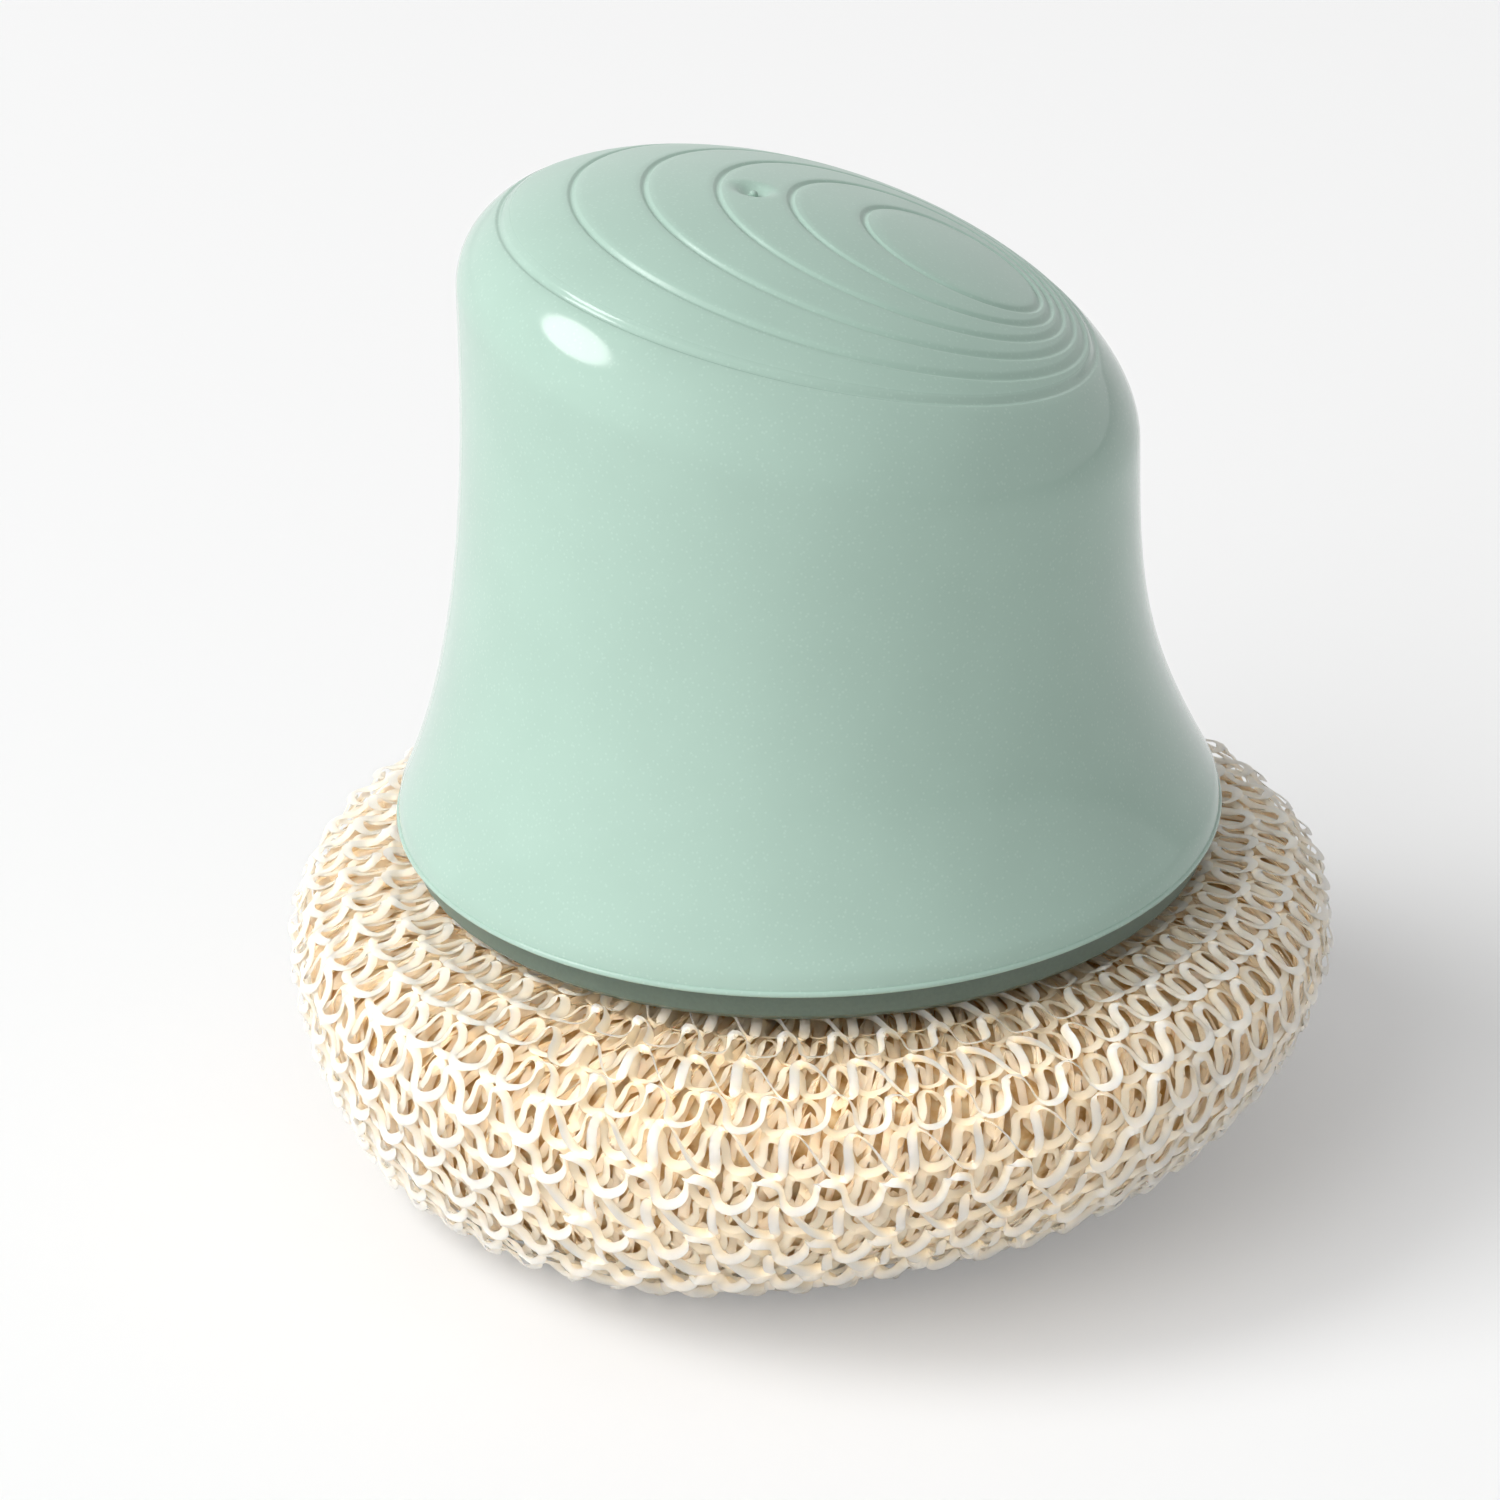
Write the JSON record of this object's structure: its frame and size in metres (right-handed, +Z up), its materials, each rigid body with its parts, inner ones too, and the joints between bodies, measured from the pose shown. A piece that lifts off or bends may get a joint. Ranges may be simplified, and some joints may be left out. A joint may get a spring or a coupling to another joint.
{
  "type": "pot brush",
  "caption": "Palm pot brush: hollow bell-shaped grip with a slanted top, and a knitted ribbon scrubber held under its base plate by a screw-in retainer.",
  "frame": {"origin": "on the surface that the scrubber rests on, on the brush's upright axis", "axes": "+Z up along the brush's axis; -X towards the high side of the slanted top; the outer form is symmetric about the XZ plane"},
  "size_m": [0.0958, 0.0958, 0.0941],
  "materials": {
    "grip_plastic": "glossy mint-green moulding with a faint pearl fleck",
    "plate_plastic": "satin grey-green moulding",
    "retainer_plastic": "satin grey-green moulding",
    "screw_steel": "zinc plated",
    "ribbon_knit": "ivory flat plastic ribbon, knitted",
    "inner_knit": "inner turns of the same ribbon",
    "cord_fibre": "twisted cord"
  },
  "bodies": {
    "grip": {"handle_shell": "grip_plastic", "base_plate": "plate_plastic", "plate_screw_1": "screw_steel", "plate_screw_2": "screw_steel", "plate_screw_3": "screw_steel"},
    "scrubber": {"scrubber_sleeve": "ribbon_knit", "scrubber_core": "inner_knit", "gather_cord_upper": "cord_fibre", "gather_cord_lower": "cord_fibre"},
    "retainer": {"retainer": "retainer_plastic"}
  },
  "joints": [
    {"name": "scrubber_drop", "type": "slide", "parent": "grip", "child": "scrubber", "axis": [0, 0, -1], "range_m": [0, 0.006]},
    {"name": "retainer_turn", "type": "hinge", "parent": "scrubber", "child": "retainer", "pos_m": [0, 0, 0.031], "axis": [0, 0, -1], "range_deg": [0, 540]}
  ],
  "couplings": [
    {"joint": "retainer_turn", "follows": "scrubber_drop", "rad_per_m": 1570.8}
  ]
}
